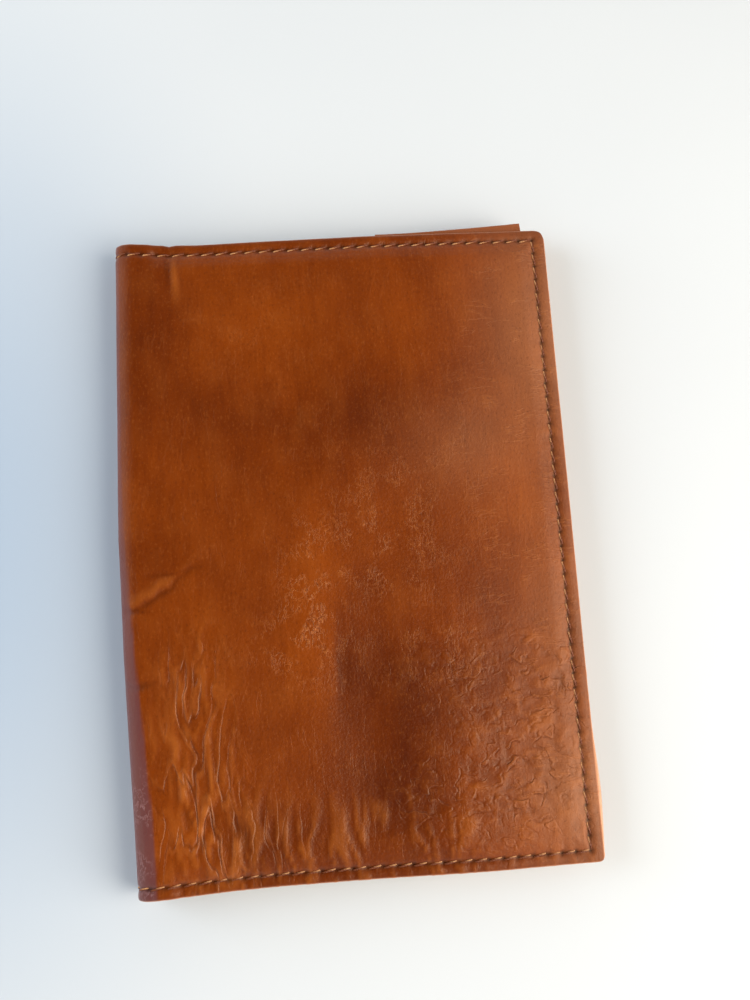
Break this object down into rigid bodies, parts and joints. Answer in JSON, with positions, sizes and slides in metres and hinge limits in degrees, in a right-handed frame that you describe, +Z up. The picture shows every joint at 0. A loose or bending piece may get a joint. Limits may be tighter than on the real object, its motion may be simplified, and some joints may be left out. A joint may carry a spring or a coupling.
{
  "type": "passport holder",
  "caption": "Folded leather passport holder with a rolled spine, a filler, lining and passport sleeve in each cover, and a sewn edge.",
  "frame": {"origin": "centre of the closed holder's footprint, on the surface that its back cover rests on", "axes": "+Y along the spine towards the head, +Z up through the closed holder from the back cover to the front cover, +X from the spine to the fore edge"},
  "size_m": [0.097, 0.141, 0.009],
  "materials": {
    "cover_leather": "glossy cognac oiled leather, creased, with a fine grain",
    "sleeve_leather": "cognac leather, satin, with pale cut edges",
    "lining": "brown cotton twill",
    "filler": "thin pressed felt",
    "thread": "tan twisted polyester thread"
  },
  "bodies": {
    "back": {"back_cover_leather": "cover_leather", "back_filler": "filler", "back_lining": "lining", "back_sleeve": "sleeve_leather", "back_needle_thread": "thread", "back_bobbin_thread": "thread"},
    "spine": {"spine_leather": "cover_leather", "spine_lining": "lining", "spine_needle_thread": "thread", "spine_bobbin_thread": "thread"},
    "front": {"front_cover_leather": "cover_leather", "front_filler": "filler", "front_lining": "lining", "front_sleeve": "sleeve_leather", "front_needle_thread": "thread", "front_bobbin_thread": "thread"}
  },
  "joints": [
    {"name": "spine_fold", "type": "hinge", "parent": "back", "child": "spine", "pos_m": [-0.04753, 0, 0.00097], "axis": [0, -1, 0], "range_deg": [0, 90]},
    {"name": "front_fold", "type": "hinge", "parent": "spine", "child": "front", "pos_m": [-0.04753, 0, 0.00803], "axis": [0, -1, 0], "range_deg": [0, 90]}
  ],
  "couplings": [
    {"joint": "front_fold", "follows": "spine_fold", "ratio": 1}
  ]
}
